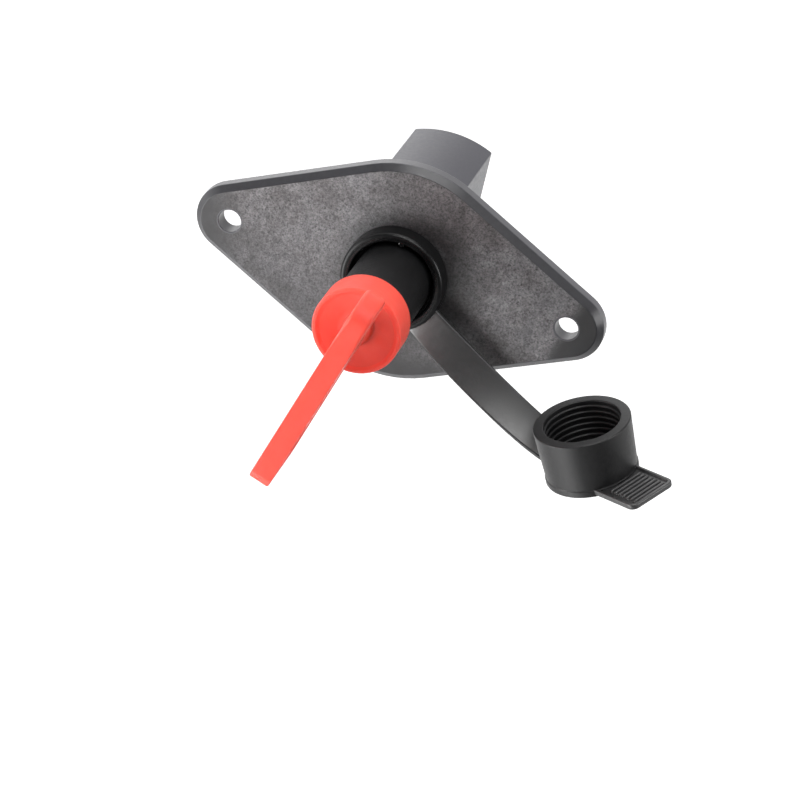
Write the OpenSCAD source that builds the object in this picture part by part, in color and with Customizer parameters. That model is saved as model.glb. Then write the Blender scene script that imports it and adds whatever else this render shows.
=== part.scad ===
/*
Battery disconnect switch with a removable key and a tethered sealing cap.
Built in a panel frame: X along the flange, Y up, Z out of the panel toward
the user, with the origin on the key axis at the back face of the flange.
The last lines turn it so that the panel front faces -Y and up is +Z.
Lengths are in millimetres.
*/

/* [Mounting flange] */
// Distance between the two fixing holes
fixing_pitch = 112; // [108:1:120]
// Diameter of each fixing hole
fixing_hole_d = 7.4; // [6.4:0.2:9]
// Flange thickness
flange_t = 6; // [5:0.5:8]
// Radius of each flange end, struck from its fixing hole
flange_end_r = 11.6; // [10:0.2:13]
// Radius of the round middle of the flange
flange_mid_r = 36.4; // [34:0.1:38]
// How far the bevel of the front edge runs down the rim
bevel_depth = 2.9; // [1:0.1:4]
// How far the same bevel runs in over the front face
bevel_inset = 2; // [0.5:0.1:3]

/* [Neck] */
// Outer diameter of the neck the key sits on
neck_od = 24.5; // [24:0.1:26]
// Height of the neck end above the panel
neck_len = 40.3; // [38:0.1:48]
// Bore that carries the rotor
neck_bore_d = 19; // [18.4:0.1:19.6]
// Wall across the end of the neck, pierced by the keyhole
neck_end_wall = 3.9; // [3:0.1:5]

/* [Switch body] */
// Radius of the body's round ends
body_r = 32.5; // [32:0.1:34]
// Width of the body between its flat sides
body_w = 26; // [25.6:0.2:32]
// Depth of the body behind the panel
body_depth = 39.3; // [38.5:0.1:50]
// Wall thickness of the body
body_wall = 2.6; // [2:0.1:2.8]
// Thickness of the base plate that closes the body
base_t = 4; // [3:0.1:5]
// Height of the rib that keeps the two terminals apart
barrier_h = 10; // [4:1:14]

/* [Terminals] */
// Stud diameter
stud_d = 10; // [8:0.5:10]
// Length of stud behind the base
stud_out = 21.9; // [18.5:0.1:24]
// Diameter of the contact face inside the body
contact_d = 14; // [12:0.5:15]
// Nut size across flats
nut_af = 16; // [14:0.5:16]
// Thickness of the nut that holds the stud in the base
clamp_nut_t = 5; // [4:0.1:5.5]
// Thickness of the nut that holds the cable lug
terminal_nut_t = 8; // [5:0.1:8.5]
// Flat washer diameter
washer_d = 17; // [15:0.5:17]
// Flat washer thickness
washer_t = 1.6; // [1:0.1:2]
// Spring washer thickness
spring_washer_t = 2.2; // [1.6:0.1:2.6]

/* [Contact carriage] */
// Travel of the moving contact, which is also the rise of the cam
contact_travel = 4; // [3:0.1:4.5]
// Thickness of the contact bridge
bridge_t = 3; // [2:0.1:4]
// Width of the contact bridge
bridge_w = 19; // [15:0.5:19.5]
// Wire of the contact spring
contact_wire = 1.5; // [1.2:0.1:1.6]
// Wire of the return spring
return_wire = 1.1; // [0.8:0.1:1.1]

/* [Rotor] */
// Length of the rotor
rotor_len = 15.3; // [14.8:0.1:16.5]
// Radial running clearance of the rotor in the neck
rotor_gap = 0.06; // [0.03:0.01:0.1]
// Section of the rotor's seal ring
seal_d = 1.6; // [1.2:0.1:1.6]

/* [Key] */
// Direction of the key's long arm, from +X toward +Y
key_angle = 253; // [0:1:359]
// Diameter of the key shank
shank_d = 12; // [10:0.5:12]
// Length of shank behind the collar
shank_len = 15.6; // [15.2:0.1:15.8]
// Diameter of the cross pin
pin_d = 3; // [2:0.2:3]
// Length of the cross pin
pin_len = 17.8; // [16:0.1:18]
// Diameter of the key collar
collar_d = 28; // [27:0.5:32]
// Height of the key collar
collar_t = 11.6; // [9:0.1:12]
// Thickness of the key paddle
paddle_t = 6.7; // [5:0.1:8]
// Reach of the paddle's long arm from the key axis
paddle_long = 45.7; // [43:0.1:52]
// Reach of the paddle's short arm from the key axis
paddle_short = 22.7; // [20:0.1:26]
// Height of the paddle's lower corner above the collar's back face
paddle_foot = 15.4; // [14:0.1:18]
// Height of the paddle at the end of its long arm
paddle_h = 26.9; // [24:0.1:32]
// Corner radius of the long arm
paddle_corner_r = 3.5; // [3:0.1:5]
// Radius of the round end of the short arm
paddle_end_r = 8.1; // [7.2:0.1:9]
// Bevel round the edges of the paddle
paddle_bevel = 0.8; // [0.4:0.1:0.9]
// Diameter of the lanyard hole
lanyard_d = 4.3; // [3:0.1:5]

/* [Sealing cap] */
// Height of the ring that holds the cap on the neck
ring_h = 7.1; // [5:0.1:8]
// Thickness of the ring's outer bead
bead_t = 2.9; // [2:0.1:3.2]
// Depth of the cup, outside
cup_h = 19.2; // [14:0.1:22]
// Wall thickness of the cup at its rim
cup_wall = 3.3; // [2:0.1:3.5]
// Thickness of the cup's base
cup_base_t = 2.6; // [1.8:0.1:3.2]
// Strap width
strap_w = 11.8; // [8:0.1:12]
// Strap thickness
strap_t = 2; // [1.2:0.1:2.2]
// Reach of the pull tab from the cup's axis
tab_reach = 28.9; // [28:0.1:34]
// Width of the pull tab
tab_w = 17.6; // [15:0.1:20]

/* [Hidden] */
$fn = 96;

// Clearances
slide_gap = 0.3;
seat_gap = 0.35;
bolt_gap = 0.25;
thread_gap = 0.05;
eps = 0.02;

// Body cavity
inner_w = body_w - 2 * body_wall;
inner_r = body_r - body_wall;
cavity_top = -3;
base_front = -(body_depth - base_t);

// Base screws at the outer edge of the base, studs next to them
screw_d = 3;
screw_head_d = 5.5;
screw_head_h = 2.2;
screw_reach = 9.3;
screw_edge = 0.25;
screw_wall = 0.8;
screw_y = inner_r - slide_gap - screw_edge - screw_head_d / 2;
cavity_half = screw_y - screw_d / 2 - screw_wall;
stud_y = screw_y - screw_head_d / 2 - seat_gap - washer_d / 2;

// Rotor and keyhole
bore_end = neck_len - neck_end_wall;
bore_r = neck_bore_d / 2;
rotor_r = bore_r - rotor_gap;
rotor_front = bore_end - slide_gap;
rotor_back = rotor_front - rotor_len;
socket_r = shank_d / 2 + 0.15;
cam_in_r = 5.4;
cam_out_r = bore_r - 0.7;
cam_r = (cam_in_r + cam_out_r) / 2;
cam_turn = 90;
cam_dwell = 14;
cam_start = 90;
seal_gap = 0.04;
seal_ring_r = rotor_r - seal_gap - seal_d / 2;
groove_w = seal_d + 0.3;
groove_back = rotor_back + 5;

// Key
collar_back = neck_len + seat_gap;
shank_tip = collar_back - shank_len;
pin_set_back = 9.6;
pin_z = collar_back - pin_set_back;
pin_slot_w = pin_d + 0.3;
collar_soft = 1.2;
collar_rim = 1.5;
collar_recess = 0.5;
stem_r = 5.6;
paddle_border = 2.5;
paddle_recess = 0.5;
panel_mid = paddle_foot + 14.2;
lanyard_in = 8.8;
plaque_x = 5.8;
plaque_pitch = 16.7;
pill_l = 19.5;
pill_r = 4.35;
diamond_r = 4.4;
diamond_soft = 1.2;
lanyard_z = paddle_foot + paddle_h - 7.6;

// Corners of the paddle as [along the arm, height above the collar back, radius]
paddle_corners = [
    [paddle_long - paddle_corner_r, paddle_foot + paddle_corner_r, paddle_corner_r],
    [paddle_long - paddle_corner_r, paddle_foot + paddle_h - paddle_corner_r, paddle_corner_r],
    [-paddle_short + paddle_end_r, panel_mid - 0.1, paddle_end_r]
];

// Terminal stack, each value a height on Z
pocket_depth = 1;
shoulder_t = 3;
contact_t = 3.1;
shoulder_back = base_front - pocket_depth;
shoulder_w = stud_d + 1;
head_back = shoulder_back + shoulder_t;
head_front = head_back + contact_t;
clamp_front = -body_depth - washer_t;
lock_front = clamp_front - clamp_nut_t;
nut_front = lock_front - spring_washer_t;

// Contact carriage, each value a height on Z
follower_r = 1.2;
follower_gap = 0.2;
follower_tip = rotor_back - follower_gap;
cam_gap = 0.7;
barrel_front = rotor_back - contact_travel - cam_gap;
barrel_r = bore_r - slide_gap;
cross_gap = 2.2;
cross_t = 6;
cross_h = 24;
cross_front = cavity_top - cross_gap;
cross_back = cross_front - cross_t;
bridge_back = head_front + contact_travel + thread_gap;
bridge_front = bridge_back + bridge_t;
bridge_set_in = 1;
clip_gap = 0.1;
clip_t = 1;
clip_reach = 1.5;
clip_mouth = 7;
clip_front = bridge_back - clip_gap;
stem_end = 1.2;
stem_back = clip_front - clip_t - stem_end;
guide_r = 6;
clip_floor_r = 5;
contact_coil_r = guide_r + bridge_set_in - slide_gap + contact_wire / 2;
spring_pocket_r = 4;
return_coil_r = spring_pocket_r - slide_gap - return_wire / 2;
spigot_r = return_coil_r - return_wire / 2 - 0.2;
spigot_h = 3;
spring_pocket_floor = 2;
spring_pocket_end = cross_back - spring_pocket_floor;
barrier_t = 3;

// Sealing cap
neck_r = neck_od / 2;
ring_in_r = neck_r + 0.08;
ring_back = flange_t + slide_gap;
ring_out_r = neck_r + 4.35;
cup_in_r = neck_r - 0.15;
cup_rim_r = cup_in_r + cup_wall;
cup_foot_r = cup_rim_r - 1;
grip_rings = 6;
grip_r = 0.6;
cup_pos = [77.6, -36.4, flange_t + 17.15];
cup_turn = [-80, -39.9, 16.4];
tab_yaw = 4;
tab_corner_r = 2.4;
tab_ribs = 7;
tab_rib_pitch = 1.77;
tab_rib_half = 5.6;
tab_dir = turned([1, 0, 0], cup_turn);
mouth_dir = turned([0, 0, 1], cup_turn);
strap_root = [11.5, -9.6, flange_t + 4.3];
strap_lead = strap_root + [9.2, -5.3, 2.5];
strap_end = cup_pos - tab_dir * (cup_foot_r - 0.4) + mouth_dir * 1.6;
strap_tail = strap_end - [15, -2.3, 3.5];
strap_steps = 36;

function unit(v) = v / norm(v);

// Direction v after the turn that rotate(a) gives
function turned(v, a) =
    let (y = v[1] * cos(a[0]) - v[2] * sin(a[0]), z = v[1] * sin(a[0]) + v[2] * cos(a[0]))
    let (x = v[0] * cos(a[1]) + z * sin(a[1]), w = z * cos(a[1]) - v[0] * sin(a[1]))
    [x * cos(a[2]) - y * sin(a[2]), x * sin(a[2]) + y * cos(a[2]), w];

// Flat outline drawn tightly round a list of circles
module belt(c, inset = 0) {
    hull() for (p = c) translate([p[0], p[1]]) circle(p[2] - inset, $fn = 48);
}

// Plate drawn tightly round a list of circles, its top edge bevelled or both edges
module bevelled_plate(c, t, depth, inset, both = false) {
    rise = both ? depth : 0;
    hull() for (p = c) translate([p[0], p[1], 0]) {
        translate([0, 0, rise]) cylinder(h = t - rise - depth, r = p[2]);
        cylinder(h = t, r = p[2] - inset);
    }
}

// Round bar wound into a spring with one closed turn at each end
module coil(mean_r, wire, length, turns) {
    step = 18;
    sides = 8;
    count = turns * 360 / step;
    lap = 1.06 * wire;
    active = length - wire - 2 * lap;
    function rise(t) = t < 1 ? t * lap
        : t > turns - 1 ? lap + active + (t - turns + 1) * lap
        : lap + (t - 1) / (turns - 2) * active;
    points = [
        for (i = [0:count], k = [0:sides - 1])
            let (a = i * step, r = mean_r + wire / 2 * cos(k * 360 / sides))
            [r * cos(a), r * sin(a), wire / 2 * (1 + sin(k * 360 / sides)) + rise(i * step / 360)]
    ];
    skin = [
        for (i = [0:count - 1], k = [0:sides - 1])
            [i * sides + k, i * sides + (k + 1) % sides,
             (i + 1) * sides + (k + 1) % sides, (i + 1) * sides + k]
    ];
    start_face = [for (k = [sides - 1:-1:0]) k];
    end_face = [for (k = [0:sides - 1]) count * sides + k];
    polyhedron(points, concat(skin, [start_face, end_face]));
}

module flange() {
    bevelled_plate([
        [-fixing_pitch / 2, 0, flange_end_r],
        [0, 0, flange_mid_r],
        [fixing_pitch / 2, 0, flange_end_r]
    ], flange_t, bevel_depth, bevel_inset);
}

module body_block(r, w, depth) {
    translate([0, 0, -depth]) linear_extrude(depth) intersection() {
        circle(r);
        square([w, 2 * r + 1], center = true);
    }
}

// Outline of the hole that lets the shank and its cross pin through
module keyhole(h) {
    cylinder(h = h, r = shank_d / 2 + slide_gap);
    rotate([0, 0, key_angle]) translate([0, 0, h / 2])
        cube([pin_len + 2 * slide_gap, pin_d + 2 * slide_gap, h], center = true);
}

module housing() {
    color("DimGray") difference() {
        union() {
            flange();
            cylinder(h = neck_len - 0.6, r = neck_r);
            translate([0, 0, neck_len - 0.6]) cylinder(h = 0.6, r1 = neck_r, r2 = neck_r - 0.6);
            body_block(body_r, body_w, body_depth);
        }
        translate([0, 0, cavity_top - 1]) cylinder(h = bore_end - cavity_top + 1, r = bore_r);
        translate([0, 0, bore_end - 1]) keyhole(neck_end_wall + 2);
        translate([-inner_w / 2, -cavity_half, base_front - 1])
            cube([inner_w, 2 * cavity_half, cavity_top - base_front + 1]);
        translate([0, 0, base_front]) body_block(inner_r, inner_w, base_t + 1);
        for (side = [-1, 1]) {
            translate([side * fixing_pitch / 2, 0, -1]) cylinder(h = flange_t + 2, d = fixing_hole_d);
            translate([0, side * screw_y, base_front - 1])
                cylinder(h = screw_reach + 1.5, r = screw_d / 2 + eps);
        }
    }
}

module base() {
    color("Gray") difference() {
        union() {
            translate([0, 0, base_front]) body_block(inner_r - slide_gap, inner_w - 2 * slide_gap, base_t);
            translate([-inner_w / 2 + slide_gap, -barrier_t / 2, -body_depth - barrier_h])
                cube([inner_w - 2 * slide_gap, barrier_t, barrier_h + 1]);
            translate([0, 0, base_front - 1]) cylinder(h = spigot_h + 1, r = spigot_r);
        }
        for (side = [-1, 1]) {
            translate([0, side * stud_y, -body_depth - 1])
                cylinder(h = base_t + 2, r = stud_d / 2 + bolt_gap);
            translate([0, side * stud_y, shoulder_back + 1])
                cube([shoulder_w + 0.2, shoulder_w + 0.2, 2], center = true);
            translate([0, side * screw_y, -body_depth - 1])
                cylinder(h = base_t + 2, r = screw_d / 2 + bolt_gap);
        }
    }
}

module base_screw(side) {
    color("Silver") translate([0, side * screw_y, -body_depth]) {
        difference() {
            union() {
                translate([0, 0, -screw_head_h]) cylinder(h = screw_head_h, d = screw_head_d);
                translate([0, 0, -eps]) cylinder(h = base_t + screw_reach, d = screw_d);
            }
            translate([0, 0, -screw_head_h - 1]) cylinder(h = 2.2, r = 1.45, $fn = 6);
        }
    }
}

module stud(side) {
    color("Goldenrod") translate([0, side * stud_y, 0]) {
        translate([0, 0, head_back]) cylinder(h = head_front - head_back, d = contact_d);
        translate([0, 0, (head_back + shoulder_back) / 2])
            cube([shoulder_w, shoulder_w, head_back - shoulder_back + eps], center = true);
        translate([0, 0, -body_depth - stud_out + 1])
            cylinder(h = stud_out + base_t - pocket_depth - 1 + eps, d = stud_d);
        translate([0, 0, -body_depth - stud_out]) cylinder(h = 1, r1 = stud_d / 2 - 1, r2 = stud_d / 2);
    }
}

module flat_washer(side) {
    color("Silver") translate([0, side * stud_y, clamp_front]) difference() {
        cylinder(h = washer_t, d = washer_d);
        translate([0, 0, -1]) cylinder(h = washer_t + 2, r = stud_d / 2 + bolt_gap);
    }
}

// Hexagon nut with both faces bevelled, its front face at height z
module nut(z, t) {
    corner_r = nut_af / 2 / cos(30);
    lead = (corner_r - nut_af / 2 + 0.3) * tan(30);
    difference() {
        translate([0, 0, z - t]) intersection() {
            cylinder(h = t, r = corner_r, $fn = 6);
            union() {
                cylinder(h = lead, r1 = nut_af / 2 - 0.3, r2 = corner_r);
                translate([0, 0, lead]) cylinder(h = t - 2 * lead, r = corner_r);
                translate([0, 0, t - lead]) cylinder(h = lead, r1 = corner_r, r2 = nut_af / 2 - 0.3);
            }
        }
        translate([0, 0, z - t - 1]) cylinder(h = t + 2, r = stud_d / 2 + thread_gap);
    }
}

module clamp_nut(side) {
    color("Silver") translate([0, side * stud_y, 0]) nut(clamp_front, clamp_nut_t);
}

module spring_washer(side) {
    color("LightSteelBlue") translate([0, side * stud_y, nut_front]) difference() {
        cylinder(h = spring_washer_t, d = nut_af - 0.6);
        translate([0, 0, -1]) cylinder(h = spring_washer_t + 2, r = stud_d / 2 + 0.1);
        rotate([0, 0, 20]) translate([stud_d / 2 + 2, 0, spring_washer_t / 2])
            rotate([25, 0, 0]) cube([8, 1.2, spring_washer_t * 3], center = true);
    }
}

module terminal_nut(side) {
    color("Silver") translate([0, side * stud_y, 0]) nut(nut_front, terminal_nut_t);
}

// Helical ramp on the rotor's back face: low, rising over the turn, then level
module cam_ramp() {
    step = 4;
    span = cam_turn + 2 * cam_dwell;
    count = ceil(span / step);
    function angle(i) = cam_start - cam_dwell + span * i / count;
    function lift(i) = contact_travel * min(1, max(0, (angle(i) - cam_start) / cam_turn));
    function corner(r, a, z) = [r * cos(a), r * sin(a), z];
    points = [
        for (i = [0:count])
            let (a = angle(i), z = rotor_back - 0.01 - lift(i))
            for (p = [corner(cam_in_r, a, rotor_back + 1), corner(cam_out_r, a, rotor_back + 1),
                      corner(cam_out_r, a, z), corner(cam_in_r, a, z)])
                p
    ];
    skin = [
        for (i = [0:count - 1], k = [0:3])
            [i * 4 + k, i * 4 + 4 + k, i * 4 + 4 + (k + 1) % 4, i * 4 + (k + 1) % 4]
    ];
    polyhedron(points, concat(skin, [[0, 1, 2, 3], [for (k = [3:-1:0]) count * 4 + k]]));
}

module rotor() {
    color("WhiteSmoke") union() {
        difference() {
            translate([0, 0, rotor_back]) cylinder(h = rotor_len, r = rotor_r);
            translate([0, 0, shank_tip - seat_gap]) cylinder(h = rotor_len, r = socket_r);
            rotate([0, 0, key_angle]) translate([0, 0, pin_z - pin_slot_w / 2 + rotor_len / 2])
                cube([2 * bore_r, pin_slot_w, rotor_len], center = true);
            translate([0, 0, groove_back]) difference() {
                cylinder(h = groove_w, r = bore_r);
                translate([0, 0, -1]) cylinder(h = groove_w + 2, r = seal_ring_r - seal_d / 2 - eps);
            }
        }
        for (turn = [0, 180]) rotate([0, 0, turn]) cam_ramp();
    }
}

module rotor_seal() {
    color("Black") translate([0, 0, groove_back + groove_w / 2])
        rotate_extrude() translate([seal_ring_r, 0]) circle(d = seal_d);
}

module contact_carriage() {
    color("Tan") difference() {
        union() {
            for (side = [-1, 1]) translate([0, side * cam_r, 0]) {
                translate([0, 0, barrel_front - 1])
                    cylinder(h = follower_tip - follower_r - barrel_front + 1, r = follower_r);
                translate([0, 0, follower_tip - follower_r]) sphere(follower_r);
            }
            translate([0, 0, cross_front - 1]) cylinder(h = barrel_front - cross_front + 1, r = barrel_r);
            translate([-inner_w / 2 + slide_gap, -cross_h / 2, cross_back])
                cube([inner_w - 2 * slide_gap, cross_h, cross_t]);
            translate([0, 0, stem_back]) cylinder(h = cross_back - stem_back + 1, r = guide_r);
        }
        translate([0, 0, stem_back - 1])
            cylinder(h = spring_pocket_end - stem_back + 1, r = spring_pocket_r);
        translate([0, 0, clip_front - clip_t]) difference() {
            cylinder(h = clip_t, r = guide_r + 1);
            translate([0, 0, -1]) cylinder(h = clip_t + 2, r = clip_floor_r);
        }
    }
}

module contact_bridge() {
    length = 2 * stud_y + contact_d - bridge_set_in;
    color("Peru") difference() {
        translate([-bridge_w / 2, -length / 2, bridge_back]) cube([bridge_w, length, bridge_t]);
        translate([0, 0, bridge_back - 1]) cylinder(h = bridge_t + 2, r = guide_r + slide_gap);
    }
}

module bridge_clip() {
    color("Silver") translate([0, 0, clip_front - clip_t]) difference() {
        cylinder(h = clip_t, r = guide_r + clip_reach);
        translate([0, 0, -1]) cylinder(h = clip_t + 2, r = clip_floor_r + 0.1);
        translate([0, -clip_mouth / 2, -1]) cube([guide_r + clip_reach + 1, clip_mouth, clip_t + 2]);
    }
}

module contact_spring() {
    color("Silver") translate([0, 0, bridge_front])
        coil(contact_coil_r, contact_wire, cross_back - bridge_front, 5);
}

module return_spring() {
    color("Silver") translate([0, 0, base_front])
        coil(return_coil_r, return_wire, spring_pocket_end - base_front, 9);
}

// The paddle lies in the XZ plane, its thickness shared about Y
module paddle() {
    difference() {
        rotate([90, 0, 0]) translate([0, 0, -paddle_t / 2])
            bevelled_plate(paddle_corners, paddle_t, paddle_bevel, paddle_bevel, true);
        for (side = [0, 1]) mirror([0, side, 0])
            translate([0, -paddle_t / 2 + paddle_recess, 0]) rotate([90, 0, 0]) difference() {
                linear_extrude(2) belt(paddle_corners, paddle_border);
                plaques();
            }
        translate([paddle_long - lanyard_in, 0, lanyard_z]) rotate([90, 0, 0])
            cylinder(h = paddle_t + 2, d = lanyard_d, center = true);
    }
}

// Two bare raised panels, a long rounded one and a rounded diamond
module plaques() {
    pill_end = pill_l / 2 - pill_r;
    far_x = plaque_x + plaque_pitch;
    diamond = [
        [far_x + diamond_r, panel_mid, diamond_soft], [far_x, panel_mid + diamond_r, diamond_soft],
        [far_x - diamond_r, panel_mid, diamond_soft], [far_x, panel_mid - diamond_r, diamond_soft]
    ];
    translate([0, 0, -1]) linear_extrude(4) {
        for (side = [-1, 1]) translate([plaque_x + side * pill_end, panel_mid]) circle(pill_r);
        translate([plaque_x, panel_mid]) square([2 * pill_end, 2 * pill_r], center = true);
        belt(diamond);
    }
}

// Flared web between the collar and the paddle
module key_stem() {
    foot = collar_t - collar_recess - 0.2;
    top = paddle_foot + 7;
    flare_r = top - foot - 2.5;
    half_w = stem_r + flare_r * 0.7;
    intersection() {
        translate([0, 0, foot]) cylinder(h = top - foot, r1 = stem_r - 0.4, r2 = stem_r + top - foot);
        rotate([90, 0, 0]) translate([0, 0, -stem_r]) linear_extrude(2 * stem_r) difference() {
            translate([-half_w, foot]) square([2 * half_w, top - foot]);
            for (side = [-1, 1]) translate([side * (stem_r + flare_r), foot + 1]) circle(flare_r);
        }
        rotate([90, 0, 90]) translate([0, 0, -half_w]) linear_extrude(2 * half_w) polygon([
            [-stem_r + 0.5, foot], [stem_r - 0.5, foot], [stem_r - 1, foot + 4],
            [paddle_t / 2, top - 2], [paddle_t / 2, top],
            [-paddle_t / 2, top], [-paddle_t / 2, top - 2], [-stem_r + 1, foot + 4]
        ]);
    }
}

module key_collar() {
    edge_r = collar_d / 2 - collar_soft;
    rotate_extrude() difference() {
        union() {
            square([collar_d / 2, collar_t - collar_soft]);
            square([edge_r, collar_t]);
            translate([edge_r, collar_t - collar_soft]) circle(collar_soft);
        }
        translate([0, collar_t - collar_recess]) square([collar_d / 2 - collar_rim, 2]);
    }
}

module key() {
    color("Red") translate([0, 0, collar_back]) rotate([0, 0, key_angle]) difference() {
        union() {
            key_collar();
            key_stem();
            paddle();
            translate([0, 0, -shank_len + 1]) cylinder(h = shank_len, d = shank_d);
            translate([0, 0, -shank_len]) cylinder(h = 1, r1 = shank_d / 2 - 1, r2 = shank_d / 2);
        }
        translate([0, 0, pin_z - collar_back]) rotate([0, 90, 0])
            cylinder(h = shank_d + 2, r = pin_d / 2 + eps, center = true);
    }
}

module key_pin() {
    soft = 0.4;
    color("Silver") translate([0, 0, pin_z]) rotate([0, 0, key_angle]) rotate([0, 90, 0]) {
        cylinder(h = pin_len - 2 * soft, d = pin_d, center = true);
        for (side = [0, 1]) mirror([0, 0, side]) translate([0, 0, pin_len / 2 - soft])
            cylinder(h = soft, r1 = pin_d / 2, r2 = pin_d / 2 - soft);
    }
}

module cap_ring() {
    bead_r = 0.9;
    translate([0, 0, ring_back]) rotate_extrude() {
        translate([ring_in_r, 0]) square([ring_out_r - ring_in_r, 2]);
        translate([ring_out_r - bead_t, 0]) square([bead_t, ring_h - bead_r]);
        translate([ring_out_r - bead_t + bead_r, 0]) square([bead_t - 2 * bead_r, ring_h]);
        for (r = [ring_out_r - bead_t + bead_r, ring_out_r - bead_r])
            translate([r, ring_h - bead_r]) circle(bead_r);
    }
}

// Cup in its own frame: Z toward the mouth, X along the pull tab
module cap_cup() {
    difference() {
        cylinder(h = cup_h, r1 = cup_foot_r, r2 = cup_rim_r);
        translate([0, 0, cup_base_t]) cylinder(h = cup_h, r = cup_in_r);
    }
    for (i = [1:grip_rings]) translate([0, 0, cup_base_t + i * (cup_h - cup_base_t) / (grip_rings + 1)])
        rotate_extrude() translate([cup_in_r + grip_r / 3, 0]) circle(grip_r);
}

module pull_tab() {
    tab_corners = [
        [10, -tab_w / 2 + 2, 2],
        [tab_reach - tab_corner_r, -tab_w / 2 + tab_corner_r, tab_corner_r],
        [tab_reach - tab_corner_r, tab_w / 2 - tab_corner_r, tab_corner_r],
        [10, tab_w / 2 - 2, 2]
    ];
    difference() {
        rotate([0, 0, tab_yaw]) difference() {
            translate([0, -0.4, 1]) linear_extrude(1.8) belt(tab_corners);
            difference() {
                translate([0, -0.4, 2.2]) linear_extrude(2) belt(tab_corners, 1.3);
                for (i = [0:tab_ribs - 1]) translate([cup_rim_r + 0.6 + i * tab_rib_pitch, -0.2, 0])
                    linear_extrude(5) offset(r = 0.5, $fn = 16) square([0.1, 2 * tab_rib_half], center = true);
            }
        }
        translate([0, 0, cup_base_t]) cylinder(h = 3, r = cup_in_r);
    }
}

// Strap: a cubic curve whose width turns from the ring's plane to the cup's base
function curve(t) = pow(1 - t, 3) * strap_root + 3 * pow(1 - t, 2) * t * strap_lead
    + 3 * (1 - t) * t * t * strap_tail + pow(t, 3) * strap_end;
function curve_dir(t) = unit((1 - t) * (1 - t) * (strap_lead - strap_root)
    + 2 * (1 - t) * t * (strap_tail - strap_lead) + t * t * (strap_end - strap_tail));
strap_side_root = cross(curve_dir(0), [0, 0, 1]);
strap_side_end = cross(tab_dir, mouth_dir);

function strap_side(t) =
    let (d = curve_dir(t), w = (1 - t) * strap_side_root + t * strap_side_end)
    unit(w - d * (w * d));

module strap() {
    half_w = strap_w / 2;
    half_t = strap_t / 2;
    soft = 0.45;
    outline = [
        [half_w, half_t - soft], [half_w - soft, half_t], [-half_w + soft, half_t],
        [-half_w, half_t - soft], [-half_w, -half_t + soft], [-half_w + soft, -half_t],
        [half_w - soft, -half_t], [half_w, -half_t + soft]
    ];
    points = [
        for (i = [0:strap_steps])
            let (t = i / strap_steps, s = strap_side(t), n = cross(curve_dir(t), s))
            for (p = outline)
                curve(t) + s * p[0] + n * p[1]
    ];
    skin = [
        for (i = [0:strap_steps - 1], k = [0:7])
            [i * 8 + k, i * 8 + 8 + k, i * 8 + 8 + (k + 1) % 8, i * 8 + (k + 1) % 8]
    ];
    first_face = [for (k = [0:7]) k];
    last_face = [for (k = [7:-1:0]) strap_steps * 8 + k];
    polyhedron(points, concat(skin, [first_face, last_face]));
}

module sealing_cap() {
    color("SlateGray") {
        cap_ring();
        difference() {
            strap();
            translate([0, 0, flange_t]) cylinder(h = 12, r = ring_out_r - bead_t / 2);
        }
        translate(cup_pos) rotate(cup_turn) {
            cap_cup();
            pull_tab();
        }
    }
}

rotate([90, 0, 0]) {
    housing();
    base();
    base_screw(1);  // base_screw_upper
    base_screw(-1);  // base_screw_lower
    stud(1);  // stud_upper
    stud(-1);  // stud_lower
    flat_washer(1);  // flat_washer_upper
    flat_washer(-1);  // flat_washer_lower
    clamp_nut(1);  // clamp_nut_upper
    clamp_nut(-1);  // clamp_nut_lower
    spring_washer(1);  // spring_washer_upper
    spring_washer(-1);  // spring_washer_lower
    terminal_nut(1);  // terminal_nut_upper
    terminal_nut(-1);  // terminal_nut_lower
    rotor();
    rotor_seal();
    contact_carriage();
    contact_bridge();
    bridge_clip();
    contact_spring();
    return_spring();
    key();
    key_pin();
    sealing_cap();
}
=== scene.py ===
"""Battery disconnect switch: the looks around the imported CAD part.

Shapes are worked out in millimetres in the panel frame (X along the flange, Y up, Z out of the
panel) and turned into the world frame at the end, where the panel front faces -Y and up is +Z.
Materials read object coordinates, which are metres in the world frame.
"""

import math

import bmesh
import bpy
import numpy as np
from mathutils import Matrix
from mathutils.geometry import tessellate_polygon


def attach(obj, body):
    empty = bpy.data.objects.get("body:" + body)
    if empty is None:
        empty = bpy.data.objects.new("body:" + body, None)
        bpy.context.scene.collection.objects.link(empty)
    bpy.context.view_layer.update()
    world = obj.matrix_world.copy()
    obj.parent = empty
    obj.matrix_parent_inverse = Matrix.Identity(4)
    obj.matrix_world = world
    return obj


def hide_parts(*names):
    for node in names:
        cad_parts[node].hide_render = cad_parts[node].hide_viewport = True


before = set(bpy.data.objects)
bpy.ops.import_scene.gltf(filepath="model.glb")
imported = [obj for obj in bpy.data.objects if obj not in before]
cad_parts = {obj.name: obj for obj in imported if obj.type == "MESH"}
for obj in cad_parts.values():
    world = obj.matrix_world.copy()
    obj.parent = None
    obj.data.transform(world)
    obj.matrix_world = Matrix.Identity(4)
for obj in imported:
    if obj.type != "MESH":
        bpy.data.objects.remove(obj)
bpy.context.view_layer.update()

# ---------------------------------------------------------------- sizes in millimetres

HOLE_X, HOLE_R = 56, 3.7
FLANGE = [(-HOLE_X, 0, 11.6), (0, 0, 36.4), (HOLE_X, 0, 11.6), (0, 0, 36.4)]
FLANGE_T = 6.0
BEVEL_DEPTH, BEVEL_IN = 2.0, 2.0
NECK_R, NECK_END, NECK_BORE_R = 12.25, 40.3, 9.5
KEYHOLE_R, SLOT_HALF_W, SLOT_REACH, END_WALL_T = 6.3, 1.8, 9.2, 3.9
BODY_R, BODY_HALF_W, BACK = 32.5, 13.0, -39.3

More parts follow.
